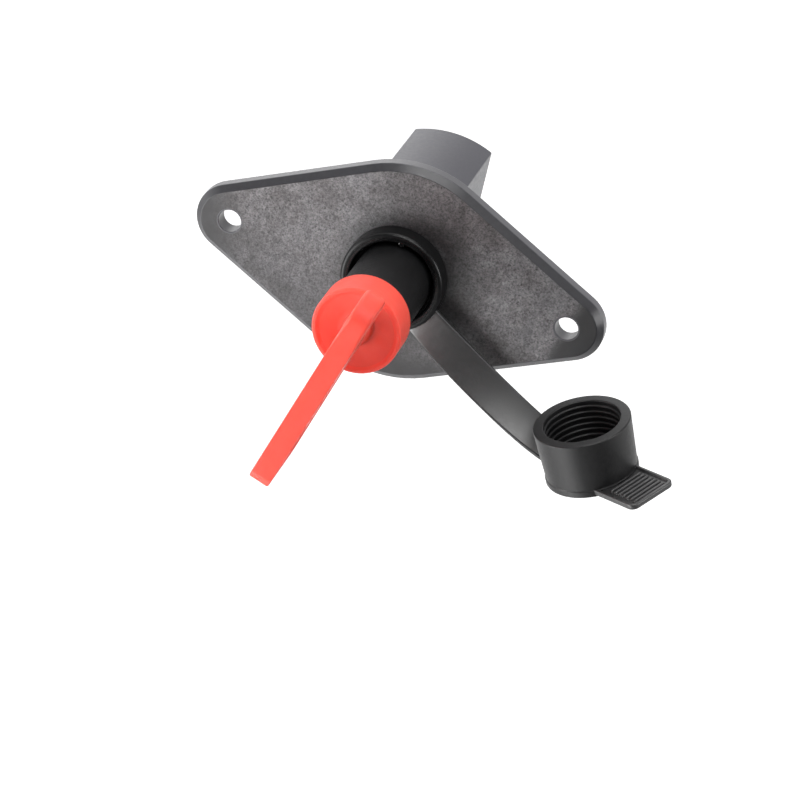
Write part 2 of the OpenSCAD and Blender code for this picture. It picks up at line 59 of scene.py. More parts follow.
BASE_R, BASE_HALF_W, BASE_T, SINK = 29.6, 10.1, 4, 3.9
RIB_HALF_T, RIB_CUT = 1.5, 0.35
STUD_Y, STUD_R, STUD_HOLE_R = 15.0, 5.0, 5.25
SCREW_Y, SCREW_HOLE_R = 26.6, 1.75
NUT_FLATS = 16.0

RING_BACK = FLANGE_T + 0.3
RING_GRIP_R, RING_IN_R, RING_OUT_R, RING_H = 12.33, 13.7, 16.6, 7.1
CUP_POS = np.array([77.6, -36.4, 23.15])
CUP_IN_R, CUP_RIM_R, CUP_FOOT_R, CUP_H, CUP_BASE_T = 12.1, 15.4, 14.75, 19.2, 2.6
STRAP_HALF_W, STRAP_HALF_T, STRAP_CORNER_R = 5.9, 1.0, 0.55

KEY_ANGLE = 253
COLLAR_BACK, COLLAR_R, COLLAR_H = 40.65, 14, 11.6
SHANK_R, SHANK_END = 6, -15.6
PADDLE = [(42.2, 18.9, 3.5), (42.2, 38.8, 3.5), (-14.6, 29.5, 8.1)]
PADDLE_HALF_T, PANEL_DEPTH = 3.35, 0.5
PLAQUE_Y = 29.6
PILL = [(5.8 + 5.4, PLAQUE_Y, 4.35), (5.8 - 5.4, PLAQUE_Y, 4.35)]
DIAMOND = [(22.5 + 4.4, PLAQUE_Y, 1.2), (22.5, 34.0, 1.2), (22.5 - 4.4, PLAQUE_Y, 1.2), (22.5, 25.2, 1.2)]
LANYARD_HOLE = (36.9, 34.7)
PIN_R, PIN_HALF_L, PIN_Z = 1.5, 8.9, 31.05

# turned profiles stop this short of the axis, so that no face collapses
AXIS = 0.01

# ---------------------------------------------------------------- points and loops


def to_world(p):
    """Panel frame in millimetres to world frame in metres: (x, up, out) becomes (x, -out, up)."""
    p = np.asarray(p, float).reshape(-1, 3)
    return np.stack([p[:, 0], -p[:, 2], p[:, 1]], 1) * 0.001


def unit(v):
    return v / np.linalg.norm(v)


def moved(x, y, z):
    """Placement that shifts points."""
    return lambda p: p + np.array([x, y, z])


def turn_z(deg):
    """Placement that turns points round Z."""
    c, s = math.cos(math.radians(deg)), math.sin(math.radians(deg))
    m = np.array([[c, -s, 0], [s, c, 0], [0, 0, 1]])
    return lambda p: p @ m.T


def rot_xyz(ax, ay, az):
    """Matrix that turns round X, then Y, then Z, by degrees."""
    ax, ay, az = (math.radians(q) for q in (ax, ay, az))
    rx = np.array([[1, 0, 0], [0, math.cos(ax), -math.sin(ax)], [0, math.sin(ax), math.cos(ax)]])
    ry = np.array([[math.cos(ay), 0, math.sin(ay)], [0, 1, 0], [-math.sin(ay), 0, math.cos(ay)]])
    rz = np.array([[math.cos(az), -math.sin(az), 0], [math.sin(az), math.cos(az), 0], [0, 0, 1]])
    return rz @ ry @ rx


def angles(n):
    """Full turn in n equal steps."""
    return np.linspace(0, 2 * np.pi, n, endpoint=False)


def at_height(points, z):
    """Plane points (x, y) lifted to the height z."""
    points = np.asarray(points, float)
    return np.concatenate([points[:, :2], np.full((len(points), 1), z)], 1)


def polar(r, t, z):
    """Loop with the radius r, one number or one for each angle t, at the height z."""
    return np.stack([r * np.cos(t), r * np.sin(t), np.full(len(t), z)], 1)


def ring(cx, cy, r, z, n=64):
    """Circle round (cx, cy) at the height z."""
    t = angles(n)
    return np.stack([cx + r * np.cos(t), cy + r * np.sin(t), np.full(n, z)], 1)


def smooth_step(q):
    """0 below 0, 1 above 1, with a soft S between."""
    q = np.clip(q, 0, 1)
    return q * q * (3 - 2 * q)


def rounded(points, radii, steps=6):
    """Polyline whose inner corners are swapped for arcs of the given radii, with a close
    extra point on each side of an arc, so shading stays flat on the flats."""
    # shares of a leg that an arc and its extra point may reach, how far that point lies beside
    # the arc as a share of its radius, and the half angle from which a corner stays as it is
    longest, farthest, beside, straight = 0.49, 0.495, 0.12, math.pi / 2 - 0.02
    p = [np.asarray(q, float) for q in points]
    out = [p[0]]
    for i in range(1, len(p) - 1):
        a, b, c, r = p[i - 1], p[i], p[i + 1], radii[i]
        u, w = a - b, c - b
        lu, lw = np.linalg.norm(u), np.linalg.norm(w)
        u, w = u / lu, w / lw
        half = math.acos(max(-1.0, min(1.0, float(u @ w)))) / 2
        if r <= 0 or half > straight:
            out.append(b)
            continue
        cut = min(r / math.tan(half), lu * longest, lw * longest)
        r = cut * math.tan(half)
        s, e = b + u * cut, b + w * cut
        centre = b + (u + w) / np.linalg.norm(u + w) * (r / math.sin(half))
        out.append(b + u * min(cut + beside * r, lu * farthest))
        a0 = math.atan2(*(s - centre)[::-1])
        a1 = math.atan2(*(e - centre)[::-1])
        while a1 - a0 > math.pi:
            a1 -= 2 * math.pi
        while a1 - a0 < -math.pi:
            a1 += 2 * math.pi
        for k in range(steps + 1):
            t = a0 + (a1 - a0) * k / steps
            out.append(centre + r * np.array([math.cos(t), math.sin(t)]))
        out.append(b + w * min(cut + beside * r, lw * farthest))
    out.append(p[-1])
    return np.array(out)


def lathe(profile, n=128):
    """Loops of a profile of (radius, height) rows turned round Z."""
    t = angles(n)
    return np.array([polar(max(r, 1e-4), t, z) for r, z in profile])


def belt(circles, inset, z, per=40):
    """Loop drawn tightly round circles (x, y, r), listed counterclockwise, pulled in by inset.
    Each circle gives the arc between its two tangent directions, and a few points follow along
    the straight run to the next, so all insets match point for point."""
    m = len(circles)
    dirs = []
    for i in range(m):
        (ax, ay, ar), (bx, by, br) = circles[i], circles[(i + 1) % m]
        d = np.array([bx - ax, by - ay])
        ln = np.linalg.norm(d)
        d = d / ln
        lean = (ar - br) / ln
        nrm = d * lean + np.array([d[1], -d[0]]) * math.sqrt(1 - lean * lean)
        dirs.append(math.atan2(nrm[1], nrm[0]))
    pts = []
    for i in range(m):
        a0, a1 = dirs[i - 1], dirs[i]
        while a1 < a0 - 1e-9:
            a1 += 2 * math.pi
        x, y, r = circles[i]
        count = max(3, int(per * (a1 - a0) / math.pi))
        for t in np.linspace(a0, a1, count):
            pts.append((x + (r - inset) * math.cos(t), y + (r - inset) * math.sin(t), z))
        nx, ny, nr = circles[(i + 1) % m]
        start = np.array(pts[-1])
        end = np.array([nx + (nr - inset) * math.cos(a1), ny + (nr - inset) * math.sin(a1), z])
        for q in np.linspace(0, 1, 6)[1:-1]:
            pts.append(tuple(start + (end - start) * q))
    return np.array(pts)


def hex_radius(flats, t):
    """Radius of a hexagon with the given width across flats, at the angles t."""
    return flats / 2 / np.cos(np.mod(t, math.pi / 3) - math.pi / 6)


# ---------------------------------------------------------------- meshes


class Mesh:
    """Collects vertices and faces with a material number each, in the panel frame."""

    def __init__(self):
        self.v = []
        self.f = []
        self.m = []
        self.n = 0

    def add(self, verts, faces, mat=0, place=None):
        verts = np.asarray(verts, float).reshape(-1, 3)
        if place is not None:
            verts = place(verts)
        self.v.append(verts)
        self.f += [tuple(int(i) + self.n for i in f) for f in faces]
        self.m += [mat] * len(faces)
        self.n += len(verts)

    def skin(self, loops, mat=0, closed=True, place=None, cap_first=False, cap_last=False):
        """Joins a row of equal loops (K, N, 3) with quads; closed runs round each loop."""
        a = np.asarray(loops, float)
        k, n = a.shape[:2]
        faces = []
        span = n if closed else n - 1
        for i in range(k - 1):
            for j in range(span):
                q = (j + 1) % n
                faces.append((i * n + j, i * n + q, (i + 1) * n + q, (i + 1) * n + j))
        if cap_first:
            faces.append(tuple(reversed(range(n))))
        if cap_last:
            faces.append(tuple(range((k - 1) * n, k * n)))
        self.add(a.reshape(-1, 3), faces, mat, place)

    def flat(self, outer, holes=(), mat=0, place=None):
        """Flat face inside the outer loop and outside each hole loop."""
        rings = [np.asarray(outer, float)] + [np.asarray(h, float) for h in holes]
        tris = tessellate_polygon([[tuple(p) for p in r] for r in rings])
        self.add(np.concatenate(rings), tris, mat, place)

    def build(self, name, body, mats, sharp=32):
        """Makes the object: joined at its seams, smooth but for edges sharper than sharp
        degrees, and riding on its body."""
        me = bpy.data.meshes.new(name)
        me.from_pydata(to_world(np.concatenate(self.v)).tolist(), [], self.f)
        for m in mats:
            me.materials.append(m)
        me.polygons.foreach_set("material_index", self.m)
        me.validate()
        bm = bmesh.new()
        bm.from_mesh(me)
        bmesh.ops.remove_doubles(bm, verts=bm.verts, dist=1e-6)
        bmesh.ops.recalc_face_normals(bm, faces=bm.faces)
        bm.to_mesh(me)
        bm.free()
        me.polygons.foreach_set("use_smooth", [True] * len(me.polygons))
        me.set_sharp_from_angle(angle=math.radians(sharp))
        ob = bpy.data.objects.new(name, me)
        bpy.context.scene.collection.objects.link(ob)
        mod = ob.modifiers.new("weighted", "WEIGHTED_NORMAL")
        mod.keep_sharp = True
        mod.weight = 80
        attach(ob, body)
        return ob


# ---------------------------------------------------------------- shader tools


class Val:
    """A shader socket with arithmetic: each operator adds one Math node."""

    def __init__(self, tree, sock):
        self.tree, self.sock = tree, sock

    def _op(self, op, other, clamp=False):
        n = self.tree.nodes.new("ShaderNodeMath")
        n.operation = op
        n.use_clamp = clamp
        self.tree.links.new(self.sock, n.inputs[0])
        if isinstance(other, Val):
            self.tree.links.new(other.sock, n.inputs[1])
        else:
            n.inputs[1].default_value = other
        return Val(self.tree, n.outputs[0])

    def __add__(self, o):
        return self._op("ADD", o)

    def __sub__(self, o):
        return self._op("SUBTRACT", o)

    def __mul__(self, o):
        return self._op("MULTIPLY", o)

    def at_least(self, o):
        return self._op("MAXIMUM", o)

    def clamp(self):
        return self._op("ADD", 0.0, clamp=True)

    def fit(self, lo, hi, a=0.0, b=1.0, smooth=True):
        """Maps lo..hi to a..b, in a soft S or in a line, and holds the end values outside."""
        n = self.tree.nodes.new("ShaderNodeMapRange")
        n.interpolation_type = "SMOOTHSTEP" if smooth else "LINEAR"
        self.tree.links.new(self.sock, n.inputs[0])
        for i, x in zip((1, 2, 3, 4), (lo, hi, a, b)):
            n.inputs[i].default_value = x
        return Val(self.tree, n.outputs[0])


class Tree:
    """Node tree of a material or of the world, with its coordinates."""

    def __init__(self, owner, space):
        owner.use_nodes = True
        self.nodes, self.links = owner.node_tree.nodes, owner.node_tree.links
        self.coord = self.nodes.new("ShaderNodeTexCoord").outputs[space]

    def axes(self):
        """The three coordinates as values."""
        n = self.nodes.new("ShaderNodeSeparateXYZ")
        self.links.new(self.coord, n.inputs[0])
        return [Val(self, sock) for sock in n.outputs]

    def rays(self, *kinds):
        """For each kind, 1 on a ray of that kind and 0 on the rest."""
        n = self.nodes.new("ShaderNodeLightPath")
        return [Val(self, n.outputs["Is %s Ray" % kind]) for kind in kinds]


class Material(Tree):
    """Principled material with helpers for its procedural inputs."""

    def __init__(self, name):
        self.m = bpy.data.materials.new(name)
        super().__init__(self.m, "Object")
        self.bsdf = self.nodes["Principled BSDF"]

    def stretched(self, scale):
        n = self.nodes.new("ShaderNodeMapping")
        n.inputs["Scale"].default_value = scale
        self.links.new(self.coord, n.inputs[0])
        return n.outputs[0]

    def noise(self, scale, detail=3.0, rough=0.5, where=None, distort=0.0):
        n = self.nodes.new("ShaderNodeTexNoise")
        n.inputs["Scale"].default_value = scale
        n.inputs["Detail"].default_value = detail
        n.inputs["Roughness"].default_value = rough
        n.inputs["Distortion"].default_value = distort
        self.links.new(where or self.coord, n.inputs["Vector"])
        return Val(self, n.outputs["Fac"])

    def mix(self, fac, a, b):
        """Colour that goes from a to b as fac goes from 0 to 1."""
        n = self.nodes.new("ShaderNodeMix")
        n.data_type = "RGBA"
        self.links.new(fac.sock, n.inputs[0])
        for i, c in ((6, a), (7, b)):
            if isinstance(c, Val):
                self.links.new(c.sock, n.inputs[i])
            else:
                n.inputs[i].default_value = (*c, 1)
        return Val(self, n.outputs[2])

    def times(self, a, b):
        """Product of two colours."""
        n = self.nodes.new("ShaderNodeVectorMath")
        n.operation = "MULTIPLY"
        self.links.new(a.sock, n.inputs[0])
        self.links.new(b.sock, n.inputs[1])
        return Val(self, n.outputs[0])

    def blend(self, fac, a, b):
        """Fades the value a to the number b as fac goes from 0 to 1."""
        n = self.nodes.new("ShaderNodeMix")
        n.data_type = "FLOAT"
        self.links.new(fac.sock, n.inputs[0])
        self.links.new(a.sock, n.inputs[2])
        n.inputs[3].default_value = b
        return Val(self, n.outputs[0])

    def bump(self, height, strength, distance):
        n = self.nodes.new("ShaderNodeBump")
        n.inputs["Strength"].default_value = strength
        n.inputs["Distance"].default_value = distance
        self.links.new(height.sock, n.inputs["Height"])
        return Val(self, n.outputs[0])

    def put(self, name, value):
        """Sets an input of the shader to a number or links a value to it."""
        sock = self.bsdf.inputs[name]
        if isinstance(value, Val):
            self.links.new(value.sock, sock)
        else:
            sock.default_value = value


# ---------------------------------------------------------------- materials


def moulded(name, dark, pale, rough, spec=0.5, coat=0.0):
    """Moulded plastic or rubber. The tone goes from dark to pale with the mean of a broad and
    a fine noise; the fine one also gives the roughness and a faint bump."""
    a = Material(name)
    fine = a.noise(900, 3, 0.6)
    tone = (a.noise(38, 4, 0.55) * 0.5 + fine * 0.5).fit(0.3, 0.72)
    a.put("Base Color", a.mix(tone, dark, pale))
    a.put("Roughness", fine.fit(0.3, 0.7, rough - 0.03, rough + 0.05))
    a.put("Normal", a.bump(fine, 0.06, 0.0002))
    a.put("Specular IOR Level", spec)
    a.put("Coat Weight", coat)
    a.put("Coat Roughness", 0.4)
    return a.m


def metal(name, base, pale, rough):
    """Plated or drawn metal: tone and roughness change along fine level streaks and with soft
    clouds; the streaks also give a faint bump."""
    a = Material(name)
    lines = a.noise(1.0, 3, 0.6, where=a.stretched((60, 60, 900)))
    cloud = a.noise(120, 3, 0.6)
    a.put("Base Color", a.mix((lines * 0.6 + cloud * 0.5).fit(0.3, 0.8), base, pale))
    a.put("Metallic", 1.0)
    a.put("Roughness", (lines * 0.5 + cloud * 0.5).fit(0.3, 0.7, rough - 0.06, rough + 0.1))
    a.put("Normal", a.bump(lines, 0.05, 0.0001))
    return a.m


def red_plastic(name, deep, light, rough=0.42):
    """Signal red moulding with a slight flow cloud, soft lustre, fine scuffs and some light
    scattered under its skin."""
    a = Material(name)
    cloud = a.noise(55, 4, 0.55, distort=0.6)
    scuff = a.noise(1.0, 2, 0.5, where=a.stretched((220, 900, 220)))
    a.put("Base Color", a.mix(cloud.fit(0.3, 0.7), deep, light))
    a.put("Roughness", (cloud * 0.4 + scuff * 0.6).fit(0.3, 0.7, rough, rough + 0.1))
    a.put("Normal", a.bump(scuff, 0.05, 0.0001))
    a.put("Specular IOR Level", 0.35)
    a.put("Subsurface Weight", 0.4)
    a.put("Subsurface Radius", (1.0, 0.12, 0.06))
    a.put("Subsurface Scale", 0.006)
    return a.m


def flange_plastic():
    """Spark-eroded flange front. A speckle of two noises swings the tone between near black
    and grey, times a cloud of three noises from warm dark to pale. Painted shade makes the tone
    darker round the neck, beside the strap, toward the foot and at the upper right, where the
    ring, neck and strap shadow the flange and where less light falls; the plain skin by the right
    hole is darker as painted shade too. The tone fades to a plain smooth skin by both fixing
    holes, at the foot and in patches."""
    a = Material("flange_grain")
    x, _, up = a.axes()
    wide = a.noise(30, 3, 0.55, distort=1.2)
    mid = a.noise(95, 3, 0.6, distort=0.8)
    fine = a.noise(260, 2, 0.5, distort=0.6)
    speck = a.noise(1900, 2, 0.6) * 0.5 + a.noise(1050, 2, 0.6, distort=0.8) * 0.5

    # how far the grain gives way to the plain skin: by the holes, at the foot, in patches
    left = (x * -1.0 - up * 0.25).fit(0.050, 0.064)
    right = (x - up * 0.3).fit(0.0535, 0.0595)
    low = (up * -1.0).fit(0.022, 0.031)
    patches = (wide + mid * 0.6).fit(0.80, 1.05, 0.0, 0.5)
    blank = (left + right + low + patches).clamp()

    # cloud of pale and dark patches, times the painted shade
    patch = wide * 0.45 + mid * 0.4 + fine * 0.25
    cloud = a.mix(patch.fit(0.38, 0.74), (0.42, 0.395, 0.392), (1.22, 1.22, 1.24))
    # painted shade round the ring's foot, where the ring and neck shade the flange
    off_neck = x - 0.003
    root = (off_neck * off_neck + up * up).fit(0.00032, 0.00075)
    cloud = a.mix(root, (0.34, 0.335, 0.34), cloud)
    # painted shade: darker toward the bottom, where less light falls on the flange
    foot = (up + x * 0.35).fit(-0.032, -0.002)
    cloud = a.times(cloud, a.mix(foot, (0.48, 0.48, 0.49), (1, 1, 1)))
    # distances from the strap's root, across the strap and along it
    dx, dy, cos, sin = x - 0.0141, up - 0.0011, 0.85, 0.52
    across, along = dx * sin + dy * cos, dx * cos - dy * sin
    # painted shadow of the strap on the flange beside its upper edge
    strap_shadow = across.fit(0.010, -0.001) * across.fit(-0.018, -0.010) * along.fit(-0.010, 0.002)
    cloud = a.times(cloud, a.mix(strap_shadow, (1, 1, 1), (0.5, 0.5, 0.5)))
    # painted shade above and right of the neck, where the neck shadows the flange
    upper_right_shade = (up - x * 0.3).fit(0.005, 0.016) * x.fit(-0.012, 0.004)
    cloud = a.times(cloud, a.mix(upper_right_shade, (1, 1, 1), (0.82, 0.785, 0.78)))

    sharp = speck.fit(0.32, 0.68, smooth=False)
    tone = a.mix(sharp, (0.016, 0.0154, 0.0163), (0.236, 0.230, 0.237))
    skin = a.mix(blank, tone, (0.024, 0.0235, 0.0255))
    # the plain skin by the right hole is darker: painted shade, as less light reaches the right end
    skin = a.mix(right, skin, (0.0065, 0.0065, 0.0075))
    a.put("Base Color", a.times(skin, cloud))
    a.put("Roughness", a.blend(blank, sharp.fit(0, 1, 0.60, 0.42, smooth=False), 0.5))
    a.put("Normal", a.bump(a.blend(blank, speck, 0.5), 0.6, 0.00022))
    a.put("Specular IOR Level", 0.6)
    return a.m


GRAIN = flange_plastic()
SMOOTH = moulded("rim_smooth", (0.040, 0.039, 0.046), (0.054, 0.053, 0.061), 0.34, spec=0.75)
BODY = moulded("body_smooth", (0.037, 0.036, 0.046), (0.048, 0.047, 0.059), 0.36, spec=0.42)
# the bevel is the rim's smooth plastic made darker: painted shade where it faces a dark part of the room
BEVEL_SHADED = moulded("bevel_painted_shade", (0.017, 0.0165, 0.020), (0.025, 0.0245, 0.029), 0.36, spec=0.65)
NECK = moulded("neck_satin", (0.0045, 0.0045, 0.0048), (0.0090, 0.0090, 0.0095), 0.34, spec=0.35)
RUBBER = moulded("cap_rubber", (0.0045, 0.0045, 0.0050), (0.0095, 0.0093, 0.0099), 0.47, spec=0.45)
TAB = moulded("tab_rubber", (0.010, 0.0098, 0.0105), (0.019, 0.0186, 0.0195), 0.46, spec=0.9)
STRAP = moulded("strap_rubber", (0.0085, 0.0083, 0.0088), (0.0135, 0.0131, 0.0138), 0.40, spec=1.0, coat=0.75)
RING = moulded("ring_gloss", (0.0030, 0.0030, 0.0033), (0.0050, 0.0050, 0.0054), 0.17, spec=0.6)
WALL = moulded("ring_satin", (0.0034, 0.0034, 0.0037), (0.0058, 0.0058, 0.0062), 0.32, spec=0.25)
# the ring's rubber made darker and duller: painted shade deep in the groove
GROOVE_SHADE = moulded("ring_groove_shade", (0.0015, 0.0015, 0.0016), (0.0030, 0.0030, 0.0032), 0.75, spec=0.08)
BASE = moulded("base_matte", (0.045, 0.045, 0.047), (0.062, 0.062, 0.064), 0.5)
RED = red_plastic("key_red", (0.80, 0.074, 0.050), (0.85, 0.088, 0.060))
# the key red made darker for the collar's dish: painted shade in the recess behind the arm
RED_DISH_SHADED = red_plastic("key_red_dish_shade", (0.72, 0.078, 0.054), (0.77, 0.090, 0.063), 0.5)
ZINC = metal("zinc_plate", (0.62, 0.63, 0.64), (0.80, 0.80, 0.80), 0.24)
SPRING = metal("spring_wire", (0.50, 0.51, 0.53), (0.66, 0.67, 0.69), 0.30)
BRASS = metal("copper_alloy", (0.72, 0.47, 0.22), (0.86, 0.62, 0.34), 0.27)
ACETAL = moulded("rotor_acetal", (0.70, 0.69, 0.65), (0.80, 0.79, 0.75), 0.35)
PHENOLIC = moulded("carriage_phenolic", (0.20, 0.11, 0.05), (0.28, 0.16, 0.08), 0.5)
SEAL = moulded("seal_rubber", (0.008, 0.008, 0.008), (0.014, 0.014, 0.014), 0.42)

# ---------------------------------------------------------------- housing


def body_outline(r, half_w, z, soft=0.7, per=56):
    """Loop of the body: a circle of radius r cut by two flats. A small curve that starts soft
    millimetres away, or less on a short run, takes the place of each of the four corners."""
    a = math.atan2(math.sqrt(r * r - half_w * half_w), half_w)
    top = polar(r, np.linspace(a, math.pi - a, per), 0)[:, :2]
    full = np.concatenate([top, -top])
    out = []
    for i, p in enumerate(full):
        if i % per not in (0, per - 1):
            out.append(p)
            continue
        legs = (full[i - 1] - p, full[(i + 1) % len(full)] - p)
        u, w = (unit(q) * min(soft, np.linalg.norm(q) * 0.45) for q in legs)
        for t in np.linspace(0, 1, 6):
            out.append((1 - t) ** 2 * (p + u) + 2 * t * (1 - t) * p + t * t * (p + w))
    return at_height(out, z)


def keyhole_loop(z, n=36):
    """Round hole with a slot through it, along the key."""
    a = math.asin(SLOT_HALF_W / KEYHOLE_R)
    pts = []
    for base in (0, math.pi):
        c, s = math.cos(base), math.sin(base)
        for y in (-SLOT_HALF_W, SLOT_HALF_W):
            pts.append((SLOT_REACH * c - y * s, SLOT_REACH * s + y * c))
        for t in np.linspace(base + a, base + math.pi - a, n):
            pts.append((KEYHOLE_R * math.cos(t), KEYHOLE_R * math.sin(t)))
    return turn_z(KEY_ANGLE)(at_height(pts, z))


def make_housing():
    """Flange, neck and body in one mesh, open at the back to the base plate."""
    front, rim, neck_skin, bevel, body = range(5)
    g = Mesh()
    # rim: from the back face round its edge, up the wall, over the bevel, onto the front
    shoulder = FLANGE_T - BEVEL_DEPTH
    prof = rounded(
        [(1.2, 0), (0, 0), (0, shoulder), (BEVEL_IN, FLANGE_T), (BEVEL_IN + 1.6, FLANGE_T)],
        [0, 0.5, 0.5, 0.35, 0],
    )
    loops = [belt(FLANGE, inset, z) for inset, z in prof]
    fold = next(i for i, (_, z) in enumerate(prof) if z > shoulder + 0.1)
    inner = next(i for i, (_, z) in enumerate(prof) if z > FLANGE_T - 1e-6)
    g.skin(loops[:fold + 1], mat=rim)
    g.skin(loops[fold:inner + 1], mat=bevel)
    g.skin(loops[inner:], mat=front)
    # fixing holes with broken edges
    wall = rounded(
        [(HOLE_R + 0.6, FLANGE_T), (HOLE_R, FLANGE_T), (HOLE_R, 0), (HOLE_R + 0.5, 0)],
        [0, 0.22, 0.2, 0],
        4,
    )
    tubes = [np.array([ring(x, 0, r, z) for r, z in wall]) for x in (-HOLE_X, HOLE_X)]
    for tube in tubes:
        g.skin(tube, mat=rim)
    # neck, its end with the keyhole, and the bore behind it
    prof = rounded(
        [(13.6, FLANGE_T), (NECK_R, FLANGE_T), (NECK_R, NECK_END), (11.2, NECK_END)], [0, 0.7, 0.6, 0]
    )
    neck = lathe(prof, 160)
    g.skin(neck, mat=neck_skin)
    g.flat(loops[-1], [tube[0] for tube in tubes] + [neck[0]], mat=front)
    keyhole = [keyhole_loop(z) for z in (NECK_END, NECK_END - END_WALL_T)]
    g.flat(neck[-1], [keyhole[0]], mat=neck_skin)
    g.skin(keyhole, mat=neck_skin)
    bore = lathe([(NECK_BORE_R, NECK_END - END_WALL_T), (NECK_BORE_R, -3)], 96)
    g.flat(bore[0], [keyhole[1]], mat=neck_skin)
    g.skin(bore, mat=neck_skin)
    # body behind the flange, with the seat of the base plate at its back
    prof = rounded(
        [(0, 0), (0, BACK), (2.6, BACK), (2.6, BACK + BASE_T), (3.6, BACK + BASE_T)],
        [0, 0.45, 0.25, 0, 0],
    )
    outer = [body_outline(BODY_R - inset, BODY_HALF_W - inset, z) for inset, z in prof]
    g.skin(outer, mat=body)
    g.flat(loops[0], [tube[-1] for tube in tubes] + [outer[0]], mat=rim)
    ob = g.build("housing_shell", "housing", [GRAIN, SMOOTH, NECK, BEVEL_SHADED, BODY])
    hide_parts("housing")


make_housing()

# ---------------------------------------------------------------- base and terminals


def make_base():
    """Base plate with a round sink for each stud and screw, and a rib between the terminals."""
    g = Mesh()
    prof = rounded(
        [(3.0, BACK + BASE_T), (0, BACK + BASE_T), (0, BACK), (3.0, BACK)], [0, 0.2, 0.4, 0]
    )
    loops = [body_outline(BASE_R - inset, BASE_HALF_W - inset, z, soft=0.5) for inset, z in prof]
    g.skin(loops)
    sizes = ((STUD_Y, STUD_HOLE_R), (SCREW_Y, SCREW_HOLE_R))
    holes = [ring(0, sign * y, r, BACK, 48) for sign in (1, -1) for y, r in sizes]
    g.flat(loops[-1], holes)
    for hole in holes:
        g.skin([hole, hole + (0, 0, SINK)])
    g.flat(loops[0])

    def rib(inset, height):
        """Section of the rib with its four corners cut off."""
        x, y, cut = BASE_HALF_W - inset, RIB_HALF_T - inset, RIB_CUT
        right = [(x, cut - y), (x, y - cut), (x - cut, y)]
        left = [(cut - x, y), (-x, y - cut), (-x, cut - y), (cut - x, -y)]
        return at_height(right + left + [(x - cut, -y)], BACK - height)

    rows = ((-0.25, -0.05), (0, 0.3), (0.06, 9.7), (0.14, 9.9), (0.35, 10.0))
    g.skin([rib(inset, height) for inset, height in rows], cap_last=True)
    ob = g.build("base_plate", "housing", [BASE])
    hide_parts("base")


make_base()


def make_nut(name, y, front, thick, node):
    """Hexagon nut: at each height the section is a hexagon cut by the circle of the 30
    degree bevel; the bore has a small countersink."""
    g = Mesh()
    n, face_r, bore_r, sink_r, sink = 144, NUT_FLATS / 2 - 0.35, 5.06, 5.65, 0.6
    slope = math.tan(math.radians(30))
    rows = [(q, face_r + q / slope) for q in (0, 0.15, 0.35, 0.6, 0.85, 1.1)]
    rows += [(thick - q, r) for q, r in reversed(rows)]
    t = angles(n)
    outer = [polar(np.minimum(hex_radius(NUT_FLATS, t), r), t, -q) for q, r in rows]
    steps = ((thick, sink_r), (thick - sink, bore_r), (sink, bore_r), (0, sink_r))
    bore = [ring(0, 0, r, -q, n) for q, r in steps]
    g.skin([bore[-1]] + outer + bore, place=moved(0, y, front))
    ob = g.build(name, "housing", [ZINC], sharp=22)
    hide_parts(node)


def make_stud(name, y, node):
    """Threaded stud: the radius follows a triangle wave of the height minus one pitch per
    turn; contact head and square shoulder sit at its inner end."""
    g = Mesh()
    place = moved(0, y, 0)
    pitch, depth, root, tip, chamfer, wave_start = 1.5, 0.55, -36.3, -61.2, 1.0, -80
    t = angles(60)
    loops = []
    for z in np.arange(root, tip, -0.25):
        phase = np.mod((z - wave_start) / pitch - t / (2 * np.pi), 1.0)
        wave = np.abs(phase - 0.5) * 2
        thread = STUD_R - depth * np.clip(wave * 1.25 - 0.12, 0, 1)
        loops.append(polar(np.minimum(thread, STUD_R - max(tip + chamfer - z, 0)), t, z))
    end = loops[-1] * (0.7, 0.7, 0) + (0, 0, tip)
    g.skin(loops + [end], cap_first=True, cap_last=True, place=place)
    head_r, front, back, square = 7, -30.2, -33.3, 5.5
    head = rounded([(AXIS, front), (head_r, front), (head_r, back), (AXIS, back)], [0, 0.5, 0.3, 0])
    g.skin(lathe(head, 64), place=place)
    corners = np.array([(1, -1), (1, 1), (-1, 1), (-1, -1)]) * square
    g.skin([at_height(corners, z) for z in (back + 0.1, root)], cap_last=True, place=place)
    ob = g.build(name, "housing", [BRASS], sharp=40)
    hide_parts(node)


def make_flat_washer(name, y, node):
    g = Mesh()
    front, back, r_in, r_out = BACK, BACK - 1.6, 5.25, 8.5
    middle = (r_in, (front + back) / 2)
    prof = rounded(
        [middle, (r_in, front), (r_out, front), (r_out, back), (r_in, back), middle],
        [0, 0.2, 0.3, 0.3, 0.2, 0],
    )
    g.skin(lathe(prof, 96), place=moved(0, y, 0))
    ob = g.build(name, "housing", [ZINC])
    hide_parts(node)


def make_spring_washer(name, y, node):
    """Square wire bent into most of one turn; one end stands a little proud of the other."""
    g = Mesh()
    # the section is drawn 2.2 mm high and pressed to 1.7; over the turn it climbs by 0.5
    z, r_in, r_out, half = -47.0, 5.1, 7.7, 1.1
    flattened, first_deg, span_deg, climb, steps = 1.7 / 2.2, 26, 348, 0.25, 96
    section = rounded(
        [(r_in, -half / 2), (r_in, -half), (r_out, -half), (r_out, half), (r_in, half), (r_in, -half / 2)],
        [0, 0.2, 0.25, 0.25, 0.2, 0],
        3,
    )[:-1]
    rings = []
    for k in range(steps + 1):
        a = math.radians(first_deg + span_deg * k / steps)
        rise = climb * (2 * k / steps - 1)
        rings.append([(r * math.cos(a), r * math.sin(a), z + h * flattened + rise) for r, h in section])
    g.skin(rings, cap_first=True, cap_last=True, place=moved(0, y, 0))
    ob = g.build(name, "housing", [SPRING])
    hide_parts(node)


